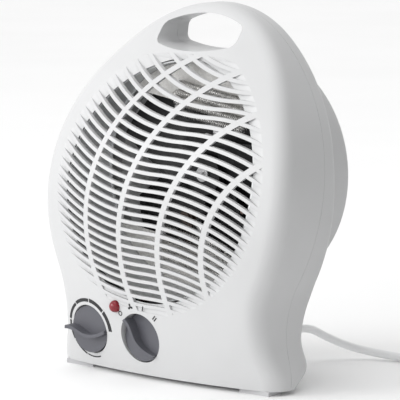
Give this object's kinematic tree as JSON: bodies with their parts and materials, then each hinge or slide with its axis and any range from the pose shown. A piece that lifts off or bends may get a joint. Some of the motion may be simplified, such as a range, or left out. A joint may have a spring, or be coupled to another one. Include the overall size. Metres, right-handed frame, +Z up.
{
  "type": "upright fan heater",
  "caption": "Upright fan heater with a round slatted grille, carrying hole, two rotary controls, wire heating coils, axial fan and coiled supply cord.",
  "frame": {"origin": "middle of the footprint of the heater without its cord, on the surface that the feet stand on", "axes": "+Z up, -Y is the side that the warm air leaves, +X is to the right seen from the front"},
  "size_m": [0.2793, 0.263, 0.247],
  "materials": {
    "white_plastic": "satin moulded",
    "grey_plastic": "satin moulded",
    "dark_plastic": "moulded",
    "phenolic": "moulded",
    "steel": "zinc plated",
    "duct_steel": "bright sheet",
    "nichrome": "drawn wire",
    "copper": "enamelled wire",
    "brass": "plain",
    "mica": "pressed mica sheet",
    "print": "printed",
    "lens_red": "clear tinted",
    "glass": "clear",
    "rubber": "soft",
    "cord_pvc": "flexible sleeve",
    "wire_pvc": "flexible sleeve",
    "core_steel": "laminated"
  },
  "bodies": {
    "housing": {"clamp_posts": "dark_plastic", "clamp_screws": "steel", "coil_bobbin": "dark_plastic", "coil_terminals": "steel", "cord_clamp": "dark_plastic", "cord_coil": "cord_pvc", "cord_end": "cord_pvc", "cord_lead": "cord_pvc", "duct_screws": "steel", "front_bearing": "brass", "front_bracket": "steel", "front_feet": "rubber", "front_shell": "white_plastic", "heater_duct": "duct_steel", "heating_coil_lower": "nichrome", "heating_coil_upper": "nichrome", "inner_lead": "cord_pvc", "mica_boards": "mica", "motor_screws": "steel", "motor_spacers": "steel", "pilot_lamp": "glass", "pilot_lens": "lens_red", "plug_body": "cord_pvc", "plug_pins": "brass", "rear_bearing": "brass", "rear_bracket": "steel", "rear_feet": "rubber", "rear_shell": "white_plastic", "selector_marks": "print", "selector_screws": "steel", "selector_switch": "phenolic", "selector_terminals": "brass", "shell_screws": "steel", "stator_core": "core_steel", "stator_winding": "copper", "strain_relief": "cord_pvc", "terminal_block": "phenolic", "terminal_screws": "brass", "thermal_cutout": "phenolic", "thermal_fuse": "steel", "thermostat_blades": "steel", "thermostat_body": "phenolic", "thermostat_marks": "print", "thermostat_nut": "steel", "wiring": "wire_pvc"},
    "thermostat_control": {"thermostat_knob": "grey_plastic", "thermostat_shaft": "steel"},
    "selector_control": {"selector_knob": "grey_plastic", "selector_shaft": "phenolic"},
    "fan_rotor": {"fan_impeller": "dark_plastic", "fan_clip": "steel", "motor_shaft": "steel", "motor_rotor": "core_steel"}
  },
  "joints": [
    {"name": "thermostat_turn", "type": "hinge", "parent": "housing", "child": "thermostat_control", "pos_m": [-0.057, -0.0465, 0.0285], "axis": [0, 1, 0], "range_deg": [-110, 173]},
    {"name": "selector_turn", "type": "hinge", "parent": "housing", "child": "selector_control", "pos_m": [-0.0095, -0.0466, 0.0285], "axis": [0, 1, 0], "range_deg": [0, 90]},
    {"name": "fan_spin", "type": "hinge", "parent": "housing", "child": "fan_rotor", "pos_m": [0, 0.01, 0.133], "axis": [0, 1, 0], "continuous": true}
  ]
}
